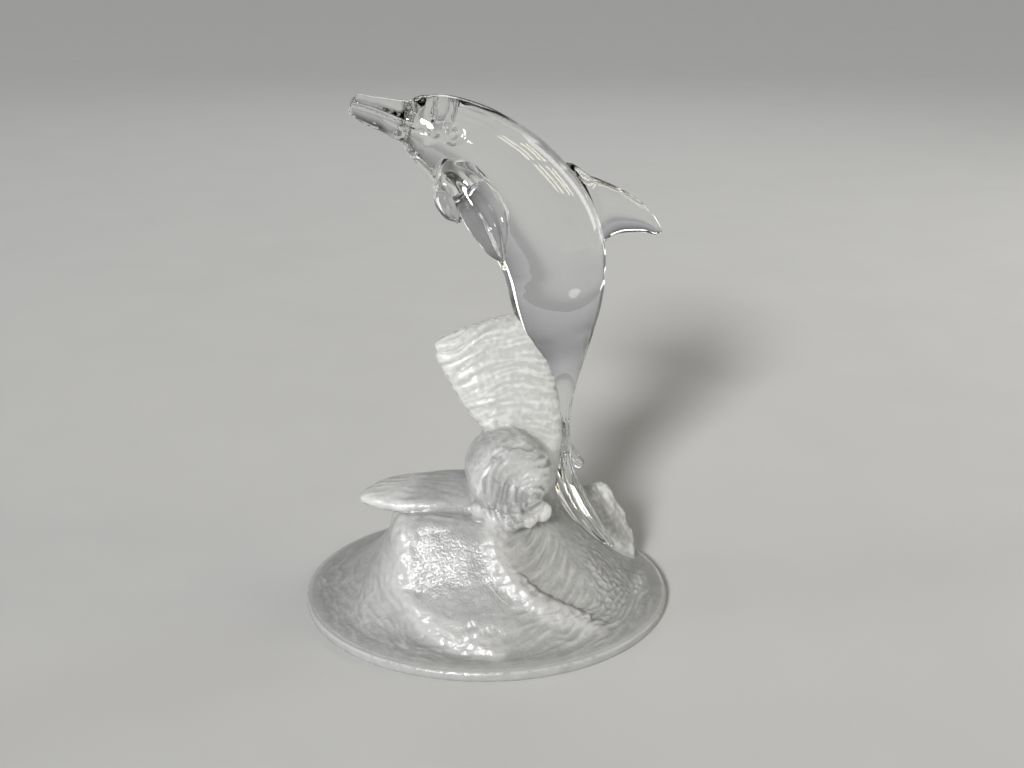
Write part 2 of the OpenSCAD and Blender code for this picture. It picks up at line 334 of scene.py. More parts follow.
# Middle of the body in x and z, half depth from back to belly, half width from side to side.
BODY_LINE = [
    (-37.6, 152.5, 1.3, 1.2), (-37.1, 152.3, 2.5, 2.3), (-35.6, 151.8, 3.4, 3.1),
    (-31.4, 150.2, 4.2, 3.9), (-28, 149.2, 4.7, 4.5), (-24, 147.8, 5.7, 5.7),
    (-19.6, 146.5, 8.2, 8), (-15.2, 144.8, 10.4, 9.8), (-10.6, 142.5, 11.9, 11),
    (-5.2, 139.2, 13.3, 12), (0.2, 135.4, 14.1, 12.8), (5.5, 130.9, 15.1, 13.6),
    (10.8, 125, 15.9, 14.2), (15.3, 118.8, 16.4, 14.6), (18.5, 112.8, 16.3, 14.6),
    (20.5, 106.5, 15.7, 14.2), (21.4, 100.3, 14.8, 13.5), (21.7, 94.2, 13.9, 12.6),
    (22, 87.6, 12.3, 11), (22.6, 82.4, 10.5, 9.2), (23.3, 75.8, 7.6, 6.8), (23.6, 68.8, 5, 4.9),
    (23.7, 61.5, 3.3, 3.7), (23.6, 55.6, 2.6, 3.4), (23.7, 50.5, 2.5, 4.2),
    (24.6, 45.5, 2.2, 5.6), (26, 42.5, 1.4, 5),
]
# Places along the body, counted in points of BODY_LINE.
NECK_FOLD = 5.35
FOREHEAD = 5.9
BEAK_END = 7
TAIL_CREASES = 23.2
MOUTH_LINE = np.array([
    (-40, 152.4), (-36.5, 152.3), (-32.7, 151.3), (-28.3, 149.4), (-24.5, 147.7), (-20.5, 146.2),
    (-17.6, 145),
])
JAW_BACK = [(-19.4, 142.2), (-22.6, 138.4), (-30, 140), (-42, 147)]
EYE = np.array([-10.8, 10.3, 144.7])
EYE_RADIUS = 1.5


def distance_to_line(x, z, line):
    """Distance in the x-z plane from points to a line of straight stretches."""
    nearest = np.full(x.shape, np.inf)
    for a, b in zip(line[:-1], line[1:]):
        way = b - a
        t = np.clip(((x - a[0]) * way[0] + (z - a[1]) * way[1]) / (way @ way), 0, 1)
        nearest = np.minimum(nearest, np.hypot(x - a[0] - t * way[0], z - a[1] - t * way[1]))
    return nearest


def body_form():
    """The body from the tip of the beak to the notch of the tail, as one smooth closed solid."""
    sides = 144
    last = len(BODY_LINE) - 1
    t = np.concatenate([np.linspace(0, BEAK_END, 150), np.linspace(BEAK_END, last, 210)[1:]])
    line = smooth_curve(BODY_LINE, t)
    run = unit(np.gradient(line[:, :2], t, axis=0))
    back = np.stack([-run[:, 1], np.zeros(len(t)), run[:, 0]], -1)[:, None]
    turn = 2 * math.pi * np.arange(sides) / sides
    up, side = np.cos(turn)[None, :, None], np.sin(turn)[None, :, None]
    depth, width = line[:, None, 2:3], line[:, None, 3:4]
    middle = np.stack([line[:, 0], np.zeros(len(t)), line[:, 1]], -1)[:, None]
    rings = middle + back * depth * up + np.array([0, 1, 0]) * width * side
    out = unit(back * up / depth + np.array([0, 1, 0]) * side / width)
    along = np.repeat(t[:, None], sides, 1)
    x, y, z = rings[..., 0], rings[..., 1], rings[..., 2]

    mouth = bump(distance_to_line(x, z, MOUTH_LINE) / 0.5) * soft_step((BEAK_END - along) / 1.2)
    fold = bump((along - NECK_FOLD) / 0.32) * (0.35 + 0.65 * up[..., 0] ** 2)
    forehead = bump((along - FOREHEAD) / 1.1)
    wrinkle = grain(rings.reshape(-1, 3) * (1, 0.6, 1), 2.6).reshape(along.shape)
    to_eye = np.sqrt((x - EYE[0]) ** 2 + (np.abs(y) - EYE[1]) ** 2 + (z - EYE[2]) ** 2)
    socket = bump((to_eye - 2.3) / 0.7)
    hand_made = swirl(rings.reshape(-1, 3), 17).reshape(along.shape)
    tail_crease = bump((along - TAIL_CREASES) / 1.3) * np.cos(9 * turn)[None]
    off = (
        -0.75 * mouth - 0.55 * fold + 0.16 * wrinkle * forehead - 0.6 * socket
        + 0.06 * hand_made + 0.16 * tail_crease
    )
    return loft("body", rings + out * off[..., None])


def dorsal_form():
    rings = blade_rings(
        [(18, 0, 131), (24.6, 0, 134.2), (31.6, 0, 130.2), (38.2, 0, 127.2), (43.6, 0, 124.3),
         (48.2, 0, 121), (51.6, 0, 117.1), (53.5, 0, 114)],
        [(26, 0, 101), (32.8, 0, 105.6), (36.4, 0, 110.4), (40.4, 0, 112.4), (44.4, 0, 112.7),
         (48.4, 0, 112.5), (51.6, 0, 111.7), (53.3, 0, 112.2)],
        [7.5, 5, 3.3, 2.8, 2.5, 2.1, 1.5, 0.7], 150, 72,
    )
    return loft("dorsal", rounded_ends(rings, end=0.8))


def pectoral_relief(along, across):
    """A thick front rim, two long soft ribs and a hollow behind them."""
    rim = 0.6 * bump((across - 0.12) / 0.09) - 0.3 * bump((across - 0.5) / 0.25)
    ribs = 0.07 * np.cos(2 * math.pi * (across * 4 + 0.1 * along))
    return (rim + ribs) * soft_step(along - 0.6) * soft_step(6 - along)


def left_pectoral_form():
    rings = blade_rings(
        [(-7.6, -7, 139.4), (-3.8, -12.6, 135), (0.4, -16, 129.8), (2.8, -18, 124.8),
         (3, -19.4, 120), (2.2, -20.4, 115.2), (1.2, -21, 111.8)],
        [(-11, -7, 127.6), (-11.6, -12.2, 127.4), (-10.8, -15.6, 124.4), (-8.8, -18, 120.2),
         (-6.6, -19.6, 116.8), (-3.6, -20.6, 113), (-0.6, -21, 110.9)],
        [6.5, 4, 2.7, 2.3, 2, 1.5, 0.7], 130, 72, -1, pectoral_relief,
    )
    return loft("left_pectoral", rounded_ends(rings, end=0.8))


def right_pectoral_form():
    rings = blade_rings(
        [(-7.6, 7, 139.4), (-4.6, 12.4, 135.2), (-0.8, 15.6, 130.6), (1.2, 18, 126),
         (1.2, 19.6, 121.2), (-0.2, 20.8, 117), (-2.6, 21.4, 114.4)],
        [(-11, 7, 127.6), (-12, 12, 128), (-12.2, 15.4, 125.4), (-11.8, 17.8, 121.8),
         (-10.2, 19.6, 118.2), (-7.6, 20.8, 115.2), (-4.4, 21.4, 113.8)],
        [6.5, 4, 2.7, 2.3, 2, 1.5, 0.7], 130, 72, 1, pectoral_relief,
    )
    return loft("right_pectoral", rounded_ends(rings, end=0.8))


def fluke_relief(along, across):
    """Long ribs that fan out from the stock to the tip."""
    fan = np.cos(2 * math.pi * (across * 2.7 + 0.08 * along))
    return 0.36 * fan * soft_step(along - 0.6) * soft_step((6.8 - along) / 2)


def left_fluke_form():
    rings = blade_rings(
        [(22, 0, 57), (19.9, -3, 47.5), (18.9, -6, 41.6), (19.8, -9.5, 36), (22.4, -13, 30.6),
         (26, -16, 26.4), (30.2, -18.6, 22.9), (33.6, -20.2, 21.5)],
        [(25.2, 0, 56), (24.9, -1.4, 48.5), (25.6, -4, 43), (27.6, -8, 37.6), (29.8, -11.6, 32.8),
         (31.8, -15, 28.4), (33.6, -18.2, 24.6), (34.8, -20.2, 22.4)],
        [2.6, 2.6, 2.4, 2.1, 1.9, 1.7, 1.3, 0.7], 150, 72, 0.6, fluke_relief,
    )
    return loft("left_fluke", rounded_ends(rings, end=0.8))


def right_fluke_form():
    rings = blade_rings(
        [(22, 0, 57), (22.8, 4, 47.5), (24.4, 8.5, 42), (27, 13, 37.5), (30.2, 17, 33.6),
         (33.6, 20.6, 31), (36.2, 23.2, 29.8)],
        [(25.2, 0, 56), (26.6, 3, 48.6), (29.6, 7.5, 44), (32.2, 12, 40.4), (34.6, 16.4, 37.2),
         (36.6, 20.4, 34.2), (37.6, 23.2, 31.8)],
        [2.6, 2.4, 2.1, 1.9, 1.7, 1.4, 0.9], 130, 72, -0.6, fluke_relief,
    )
    return loft("right_fluke", rounded_ends(rings, end=0.9))


def eye_form(name, side):
    """A bead that is half sunk in the cheek, with its poles across the dolphin."""
    ball = ball_rings(25, 40)[..., [0, 2, 1]]
    return loft(name, ball * EYE_RADIUS + EYE * (1, side, 1))


def jaw_space():
    """Everything under the line of the mouth, as far back as the corner of the jaw."""
    top = smooth_curve(MOUTH_LINE, np.linspace(0, len(MOUTH_LINE) - 1, 40))
    outline = np.vstack([top, JAW_BACK])
    ring = np.stack([outline[:, 0], np.zeros(len(outline)), outline[:, 1]], -1)
    beside = np.array([0, 12, 0])
    return loft("jaw_space", np.stack([ring - beside, ring + beside]), SEAM)


# ------------------------------------------------------------------ the sea's forms


def lip_distance(bearing):
    """Distance from the middle of the mound at which the front left lip runs, by bearing."""
    return 27 + 16 * soft_step((bearing - 180) / 75)


# Lines that the mound is banked up to, so that no shadow gap opens under a wave.
LEFT_LIP_LINE = np.array([
    (-24.5, 2, 28), (-27, -6, 24.5), (-28.5, -14, 20), (-28, -22, 17.5), (-24.5, -29, 14.5),
    (-16.5, -35.5, 11.5), (-5, -40, 8),
])
FRONT_LIP_LINE = np.array([
    (-1.5, -15.5, 33.5), (-2, -22.5, 27.5), (-1.5, -29, 21.5), (3, -33.5, 16.5), (9.5, -37, 12.3),
    (21, -38.8, 8.2),
])
FRONT_LIP_EDGE = np.array([
    (3, -8, 35), (2, -15, 33), (1.8, -22, 27.5), (2.5, -28, 22), (6.5, -32, 17.5), (12.5, -35, 13.5),
    (22, -37.6, 8.2),
])
CREST_FRONT_LINE = np.array([(-2, -17, 34), (-11, -16.5, 35.5), (-20, -15, 36.5), (-26, -13.5, 35.5)])


def distance_to(p, line):
    """Distance in space from points to a line of straight stretches."""
    nearest = np.full(len(p), np.inf)
    for a, b in zip(line[:-1], line[1:]):
        way = b - a
        t = np.clip((p - a) @ way / (way @ way), 0, 1)
        nearest = np.minimum(nearest, np.linalg.norm(p - a - t[:, None] * way, axis=1))
    return nearest


def filled_under(x, y, top, line, reach):
    """The height of the mound when it is banked up to just under a line, over reach mm in plan."""
    nearest, height = np.full(x.shape, np.inf), np.zeros(x.shape)
    for a, b in zip(line[:-1], line[1:]):
        way = (b - a)[:2]
        t = np.clip(((x - a[0]) * way[0] + (y - a[1]) * way[1]) / (way @ way), 0, 1)
        gap = np.hypot(x - a[0] - t * way[0], y - a[1] - t * way[1])
        height = np.where(gap < nearest, a[2] + t * (b[2] - a[2]), height)
        nearest = np.minimum(nearest, gap)
    return top + np.maximum(height - 1 - top, 0) * bump(nearest / reach)


def swell_top(x, y):
    """Height of the mound, without its fine relief."""
    r = np.hypot(x, y)
    bearing = np.degrees(np.arctan2(y, x)) % 360
    mound = SWELL_HEIGHT * (1 + np.cos(math.pi * np.clip((r - 2) / (SWELL_RADIUS - 2), 0, 1))) / 2
    inside = np.where(
        (bearing > 180) & (bearing < 300),
        soft_step((bearing - 180) / 12) * soft_step((300 - bearing) / 45), 0,
    )
    lip = lip_distance(bearing)
    terrace = inside * (3.2 * soft_step((lip - r + 3) / 4) - 1.2 * bump((r - lip - 5) / 4))
    hollow = -2.4 * bump(np.hypot((x - 9) / 8, (y + 24) / 11))
    right_ridge = 2.2 * bump((x - 0.45 * (y + 22) - 42) / 2.5) * bump((y + 14) / 9)
    left_shelf = 5 * bump(np.hypot((x + 24) / 12, (y + 2) / 12))
    top = np.maximum(mound + terrace + hollow + right_ridge + left_shelf, 0)
    top = FOOT_HEIGHT + 0.6 * soft_step((SWELL_RADIUS - r) / 3) + top
    top = filled_under(x, y, top, CREST_FRONT_LINE, 10)
    top = filled_under(x, y, top, FRONT_LIP_LINE, 5)
    top = filled_under(x, y, top, FRONT_LIP_EDGE, 4)
    return filled_under(x, y, top, LEFT_LIP_LINE, 4)


def turned(name, profile, sides):
    """A frosted solid from (radius, height) points, where a height may be a function of x and y."""
    turn = 2 * math.pi * np.arange(sides) / sides
    rings = []
    for r, height in profile:
        x, y = r * np.cos(turn), r * np.sin(turn)
        z = height(x, y) if callable(height) else np.full(sides, float(height))
        rings.append(np.stack([x, y, z], -1))
    return loft(name, np.array(rings), FROSTED)


def foot_form():
    """The plain round foot, with its rim eased."""
    edge = FOOT_EDGE * (1 - math.cos(math.pi / 4))
    profile = [
        (CORE, 0), (FOOT_RADIUS - FOOT_EDGE, 0), (FOOT_RADIUS - edge, edge), (FOOT_RADIUS, FOOT_EDGE),
        (FOOT_RADIUS, FOOT_HEIGHT - FOOT_EDGE), (FOOT_RADIUS - edge, FOOT_HEIGHT - edge),
        (FOOT_RADIUS - FOOT_EDGE, FOOT_HEIGHT), (CORE, FOOT_HEIGHT),
    ]
    return turned("foot", profile, 360)


def mound_form():
    """The sculpted mound, which starts within the foot."""
    profile = [(CORE, FOOT_HEIGHT / 2), (SWELL_RADIUS, FOOT_HEIGHT / 2)]
    profile += [(r, swell_top) for r in np.linspace(SWELL_RADIUS, CORE, 120)]
    return turned("mound", profile, 300)


def left_lip_form(grow=0.0):
    """The lip that runs down the front left of the mound."""
    rings = blade_rings(
        [(-20, 2, 27), (-22, -6, 26), (-25, -14, 21), (-25, -22, 17), (-20, -29, 14), (-12, -35, 11.5),
         (-4, -39.6, 7.6)],
        [(-29, 2, 29), (-32, -6, 22), (-34, -14, 17), (-33, -21.5, 14), (-29, -29.5, 11.5),
         (-21, -36, 9.2), (-6, -41, 6.6)],
        [3, 3, 2.9, 2.6, 2.2, 1.6, 0.6], 90, 40, grow=grow,
    )
    return loft("left_lip", rings, FROSTED)


def front_lip_form(grow=0.0):
    """The lip that runs down the front from under the curl and turns off to the right."""
    rings = blade_rings(
        [(3, -8, 35), (2, -15, 33), (1.5, -22, 27.5), (2, -28, 22), (6, -32, 17.5), (12, -35, 13.5),
         (22, -37.6, 8.2)],
        [(-5, -8, 34), (-6, -16, 32), (-6.5, -23, 26.5), (-6, -29.5, 20.5), (-2, -35, 15), (6, -39.5, 11),
         (20, -40.4, 7)],
        [2.6, 2.6, 2.6, 2.5, 2.2, 1.7, 0.5], 90, 40, grow=grow,
    )
    return loft("front_lip", rings, FROSTED)


def crest_form(grow=0.0):
    """The flat tongue of wave that reaches out to the left."""
    rings = blade_rings(
        [(-4, -16.5, 32.5), (-11, -15.8, 34.8), (-21, -14.5, 36.5), (-30, -12, 36.3),
         (-36.5, -8, 36.8), (-39.3, -5, 36.8)],
        [(-4, 9.8, 34.5), (-11, 9.5, 36), (-21, 8, 37.5), (-30, 5.5, 38.2), (-36.5, 1, 37.6),
         (-39.6, -2.5, 37)],
        [8, 6, 4.2, 3.2, 2.2, 1], 90, 60, grow=grow,
    )
    return loft("crest", rings, FROSTED)


CURL_MIDDLE = np.array([3.6, 46.0])  # the curl's axis in x and z; it runs along y


def curl_form(grow=0.0):
    """A rolled wave seen end on: a round form that is lobed low down and rounded at its front."""
    stops = [
        (1, 7.5), (-3, 10.2), (-8, 11.8), (-13, 12.4), (-18, 12.2), (-21.6, 11), (-24, 9),
        (-25.2, 6.4), (-24.6, 3.6), (-23.8, 1),
    ]
    s = smooth_curve(stops, np.linspace(0, len(stops) - 1, 90))
    y, r = s[:, :1], s[:, 1:] + grow
    turn = 2 * math.pi * np.arange(120)[None] / 120
    low = soft_step((-np.sin(turn) - 0.1) / 0.6)
    r = r + 0.3 * low * np.sin(7 * turn)
    x, z = CURL_MIDDLE[0] + r * np.cos(turn), CURL_MIDDLE[1] + r * np.sin(turn)
    rings = np.stack([x, y + 0 * turn, z], -1)
    return loft("curl", rings, FROSTED)


def froth_form(grow=0.0):
    """Lobes of froth that hang under the curl's open end."""
    lobes = [
        (-5.6, -19, 36.6, 3.4), (-1.6, -21, 34.6, 3.6), (3, -21.6, 33.6, 4), (7.8, -21, 33.4, 3.6),
        (12, -18.6, 34, 3.8),
    ]
    ball = ball_rings(24, 40)
    flattened = np.array([1, 1, 0.85])
    made = []
    for x, y, z, r in lobes:
        made.append(loft("froth", ball * ((r + grow) * flattened) + (x, y, z), FROSTED))
    for other in made[1:]:
        combine(made[0], other, "UNION")
        remove(other)
    return made[0]


def standing_form(grow=0.0):
    """The tall wave that carries the belly, from inside the mound to its tilted top edge."""
    levels = [
        (28, -13, 22, -2, 9.5), (36, -9, 22, -2.5, 9.5), (44, -5.5, 22, -3, 9), (51, -3, 22.5, -3, 8.6),
        (56, -2.4, 22.5, -2.5, 8.2), (61, -6, 22, -2, 7.8), (66, -9.2, 21, -1.4, 7.4),
        (71, -11.8, 19.6, -0.8, 6.9), (76, -14, 18, -0.2, 6.3), (80, -15.6, 16, 0, 5.6),
        (83, -15.6, 14, 0, 4.4), (84.6, -13.5, 12, 0, 2.6),
    ]
    s = smooth_curve(levels, np.linspace(0, len(levels) - 1, 120))
    height, left, right, middle, half = (s[:, k:k + 1] for k in range(5))
    left, right, half = left - grow, right + grow, half + grow
    turn = 2 * math.pi * np.arange(90)[None] / 90
    w = (1 + np.cos(turn)) / 2
    x = left + (right - left) * w
    side = np.sign(np.sin(turn)) * np.abs(np.sin(turn)) ** 0.75
    y = middle - 3 * (1 - w) ** 2 + half * side
    z = height + 0.2 * soft_step((height - 50) / 30) * (x + 15) + 0 * w
    rings = np.stack([x, y, z], -1)
    return loft("standing", rounded_ends(rings, end=1 + grow), FROSTED)


def splash_form(grow=0.0):
    """The jagged crest behind and to the right of the tail."""
    rings = blade_rings(
        [(12, 10, 30), (22, 10, 31), (30, 10, 30), (34.8, 10, 29.1), (38.8, 10, 29.8), (42.8, 10, 27.7),
         (44.4, 10, 23.2), (47.4, 9.6, 19.2), (48.2, 9, 15.2), (50.2, 8, 11.5), (50.4, 6, 6.5)],
        [(13, 8, 12), (20, 8, 12), (26, 8, 11), (31, 8, 9), (34.5, 7.5, 8), (38, 7, 7), (41, 6.8, 6),
         (44, 6.4, 5), (46.4, 6, 4.4), (48.4, 5.4, 3.8), (49.6, 4.6, 3.4)],
        [5, 5, 4.6, 4.4, 4.2, 4, 3.6, 3.2, 2.6, 1.8, 0.8], 110, 40, grow=grow,
    )
    return loft("splash", rings, FROSTED)


# ------------------------------------------------------------------ relief of the sea

DEPTH_STRETCH = 8.0  # how much longer a stroke is into the glass than across itself
STROKES_MIDDLE = (9, 39)  # the tall wave's strokes run round this point in x and z
STROKES_RADIUS = 30
STROKES_FROM = 50  # height at which the tall wave's strokes begin
FOLDS_MIDDLE = CURL_MIDDLE + (5, -6)  # the curl's folds wind round this point in x and z
FOLDS_REACH = 13.5
SCALES_MIDDLE = (-6, -8)  # the scales run round this point in x and y
SCALES_PITCH = 2.6
MOUND_ONLY_TO = 37  # height above which the mound's own relief is gone
LEFT_LIP_SKIN = np.array([
    (-27.5, -15, 32.5), (-28.3, -18.5, 29), (-29, -21.5, 23.5), (-30.5, -24, 18), (-30, -27.5, 14.5),
    (-27.5, -31.5, 11.5), (-23.5, -36, 8.8), (-17, -41.5, 6.3), (-8, -47, 4.2),
])
LEFT_LIP_WIDTH = 3.2
FRONT_LIP_SKIN = np.array([
    (-2.2, -17.5, 34), (-3.2, -26, 28.6), (-2.3, -31.2, 22.3), (2.3, -35.8, 17.2), (8.9, -39.4, 12.8),
    (20, -40.2, 8.3),
])
FRONT_LIP_WIDTH = 3.4


def streaks(across, along, depth, size, stretch=7.0):
    """Noise drawn out along one direction, like chisel strokes."""
    return swirl(np.stack([across, along / stretch, depth / DEPTH_STRETCH], -1), size)


def on_lips(p):
    """1 along the middle of the two front lips, falling to 0 over their width."""
    left = bump(distance_to(p, LEFT_LIP_SKIN) / LEFT_LIP_WIDTH)
    front = bump(distance_to(p, FRONT_LIP_SKIN) / FRONT_LIP_WIDTH)
    return np.maximum(left, front)


def wave_strokes(p, warp):
    """Strokes on the tall wave, in arcs that fan out from beside the curl."""
    x, y, z = p.T
    right, up = x - STROKES_MIDDLE[0], z - STROKES_MIDDLE[1]
    arc = np.hypot(right, up) + 2.2 * warp
    along = STROKES_RADIUS * np.arctan2(up, right)
    fine, broad = streaks(arc, along, y, 1.1, 5.0), streaks(arc, along, y, 2.6, 4.0)
    return 0.32 * fine + 0.34 * broad + 0.16 * grain(p, 1.6)


def curl_folds(p, warp):
    """A twisted bunch of folds seen end on, finer towards the curl's lower right."""
    x, y, z = p.T
    right, up = x - FOLDS_MIDDLE[0], z - FOLDS_MIDDLE[1]
    arc = np.hypot(right, up) + 1.5 * warp
    along = arc * np.arctan2(up, right)
    folds = streaks(arc, along, y, 1.7, 4.0) + 0.7 * streaks(arc, along, y, 4.0, 3.0)
    return 0.65 * folds + 0.34 * streaks(arc, along, y, 1.2, 4.0) + 0.12 * grain(p, 1.6)


def mound_relief(p, warp):
    """Arcs outside the left lip, scales by the front lip, swirls low at the front and plain swells
    round the back, which the photograph doesn't show."""
    x, y, z = p.T
    r = np.hypot(x, y)
    bearing = np.degrees(np.arctan2(y, x)) % 360
    turn = np.radians(bearing)
    round_mound = r * turn
    past_lip = r - lip_distance(bearing)

    outer = soft_step((past_lip - 3) / 3) * soft_step((bearing - 150) / 25) * soft_step((315 - bearing) / 20)
    fine = streaks(past_lip + 2 * warp, round_mound, z, 1.2)
    broad = streaks(past_lip + 2 * warp, round_mound, z, 3.2, 9.0)
    terraces = outer * (0.2 * fine + 0.26 * broad)

    arc = np.hypot(x - SCALES_MIDDLE[0], y - SCALES_MIDDLE[1]) + 0.8 * warp
    by_lip = soft_step((bearing - 266) / 8) * soft_step((322 - bearing) / 14) * (1 - outer)
    steps = np.cos(2 * math.pi * arc / SCALES_PITCH)
    scales = by_lip * (0.12 * steps + 0.22 * streaks(arc, arc * turn, z, 1.5, 4.0))

    low_front = soft_step((r - 38) / 5) * soft_step((bearing - 225) / 20) * soft_step((350 - bearing) / 20)
    swirls = low_front * 0.32 * streaks(r + 3.4 * warp, round_mound, z, 1.3)

    wavy = r + 3 * warp
    behind = soft_step((y - 4) / 8)
    swells = behind * (0.34 * streaks(wavy, round_mound, z, 3.4) + 0.22 * streaks(wavy, round_mound, z, 1.4))
    return terraces + scales + swirls + swells


def sea_relief(p):
    """How far the sea's skin stands out at points p, both in mm."""
    x, y, z = p.T
    warp = lump(p, 11)
    over_foot = soft_step((z - FOOT_HEIGHT - 0.2) / 1.2)
    on_mound = soft_step((MOUND_ONLY_TO - z) / 4)
    up_wave = soft_step((z - STROKES_FROM) / 8)
    from_axis = np.hypot(x - CURL_MIDDLE[0], z - CURL_MIDDLE[1])
    on_curl = soft_step((FOLDS_REACH - from_axis) / 2) * soft_step((-y - 8) / 6) * (1 - up_wave)
    on_crest = soft_step((-x - 8) / 6) * soft_step((z - 28) / 3) * (1 - up_wave)
    right_side = soft_step((x - 24) / 6) * soft_step((z - 5) / 3)

    coarse = 0.2 * lump(p, 6) + 0.08 * grain(p, 1.7)
    strokes = up_wave * wave_strokes(p, warp) + on_crest * 0.22 * streaks(y + 0.3 * x + warp, x, z, 1.5)
    curl = on_curl * curl_folds(p, warp)
    mound = on_mound * mound_relief(p, warp)
    jagged = right_side * (0.32 * streaks(x + 0.6 * z, z - 0.6 * x, y, 1.6) + 0.2 * grain(p, 1.7))
    knots = on_lips(p) * (1.3 + 0.6 * grain(p, 2.3) + 0.3 * lump(p, 4))
    return over_foot * (coarse + strokes + curl + mound + jagged + knots)


def in_curl_opening(p, n):
    """Whether faces at points p with normals n lie in the curl's ragged open end, which is glossy."""
    from_axis = np.hypot(p[:, 0] - CURL_MIDDLE[0] - 1, p[:, 2] - CURL_MIDDLE[1] + 1)
    return (p[:, 1] < -14) & (from_axis + 2.2 * grain(p, 3) < 11.5) & (n[:, 1] < 0.1 * swirl(p, 2))


EASE = 0.7  # how far a point moves towards its neighbours' mean in one round


def spread(mesh, points, rounds):
    """The points after so many rounds, in each of which a point moves towards its neighbours' mean."""
    edges = np.empty(len(mesh.edges) * 2, int)
    mesh.edges.foreach_get("vertices", edges)
    a, b = edges.reshape(-1, 2).T
    count = np.bincount(np.append(a, b), minlength=len(points))[:, None]
    for _ in range(rounds):
        total = np.stack([
            np.bincount(a, points[b, k], len(points)) + np.bincount(b, points[a, k], len(points))
            for k in range(3)
        ], -1)
        points = (1 - EASE) * points + EASE * total / count
    return points


def raisedness(mesh):
    """How much painted light each vertex gets in the frosted colour: 0, painted shade, in a furrow, about
    0.4 on a flat and 1, painted highlight, on a ridge or a wave's lip.
    """
    p, n = points_of(mesh), normals_of(mesh)
    fine = np.einsum("ij,ij->i", p - spread(mesh, p, 5), n)
    broad = np.einsum("ij,ij->i", p - spread(mesh, p, 40), n)
    # Furrows are painted darker, and ridges and the two front lips lighter, as painted shade and painted
    # highlight.
    return np.clip(0.36 + fine / 0.5 + broad / 2 + 0.9 * on_lips(p), 0, 1)


def centres_of(mesh):
    c = np.empty(len(mesh.polygons) * 3)
    mesh.polygons.foreach_get("center", c)
    return c.reshape(-1, 3) / MM


def face_normals_of(mesh):
    n = np.empty(len(mesh.polygons) * 3)
    mesh.polygons.foreach_get("normal", n)
    return n.reshape(-1, 3)


SEA_VOXEL = 0.5  # mm
MELT_ROUNDS = 12  # of smoothing, which melts the forms into each other


def sea_surface():
    """The mound and every wave form grown together into one frosted skin, without the foot."""
    sea = mound_form()
    forms = (left_lip_form, front_lip_form, crest_form, curl_form, froth_form, standing_form, splash_form)
    for make in forms:
        form = make()
        combine(sea, form, "UNION")
        remove(form)
    mod = sea.modifiers.new("skin", "REMESH")
    mod.mode, mod.voxel_size = "VOXEL", SEA_VOXEL * MM
    mod = sea.modifiers.new("melt", "SMOOTH")
    mod.iterations, mod.factor = MELT_ROUNDS, 0.5
    apply_modifiers(sea)
    p, n = points_of(sea.data), normals_of(sea.data)
    set_points(sea.data, p + n * sea_relief(p)[:, None])
    slots = np.full(len(sea.data.polygons), FROSTED)
    slots[in_curl_opening(centres_of(sea.data), face_normals_of(sea.data))] = CRINKLED
    sea.data.polygons.foreach_set("material_index", slots)
    return sea


# ------------------------------------------------------------------ materials


GLASS_IOR = 1.52


class Look:
    """A material whose nodes are added and wired by name."""

    def __init__(self, name):
        self.material = bpy.data.materials.new(name)
        self.material.use_nodes = True
        self.tree = self.material.node_tree
        self.shader = self.tree.nodes["Principled BSDF"]

    def add(self, kind, **values):
        """A node of this kind, with each value set on the input or the property of that name."""
        node = self.tree.nodes.new(kind)
        for name, value in values.items():
            where = name.replace("_", " ")
            if where in node.inputs:
                node.inputs[where].default_value = value
            else:
                setattr(node, name, value)
        return node

    def wire(self, output, target):
        self.tree.links.new(output, target)

    def noise(self, size, detail=2.0, roughness=0.5):
        """Noise in the object's own space, with features about size mm across."""
        place = self.add("ShaderNodeTexCoord")
        noise = self.add("ShaderNodeTexNoise", Scale=1 / (size * MM), Detail=detail, Roughness=roughness)
        self.wire(place.outputs["Object"], noise.inputs["Vector"])
        return noise.outputs["Fac"]

    def ranged(self, source, low, high, start=0.3, stop=0.7):
        """The source's values from start to stop, stretched to run from low to high."""
        ramp = self.add("ShaderNodeMapRange")
        for name, value in (("From Min", start), ("From Max", stop), ("To Min", low), ("To Max", high)):
            ramp.inputs[name].default_value = value
        self.wire(source, ramp.inputs["Value"])
        return ramp.outputs["Result"]

    def bump(self, height, distance):
        """Bumps as high as distance in mm where height is 1."""
        node = self.add("ShaderNodeBump", Strength=1.0, Distance=distance * MM)
        self.wire(height, node.inputs["Height"])
        self.wire(node.outputs["Normal"], self.shader.inputs["Normal"])


def clear_look():
    """Fire-polished glass, with a skin that is very slightly uneven."""
    look = Look("clear_crystal")
    values = {"Base Color": (0.985, 0.995, 0.99, 1), "Transmission Weight": 1.0, "IOR": GLASS_IOR}
    for name, value in values.items():
        look.shader.inputs[name].default_value = value
    look.wire(look.ranged(look.noise(9), 0.0, 0.03), look.shader.inputs["Roughness"])
    look.bump(look.noise(7, 1.0), 0.05)
    return look.material


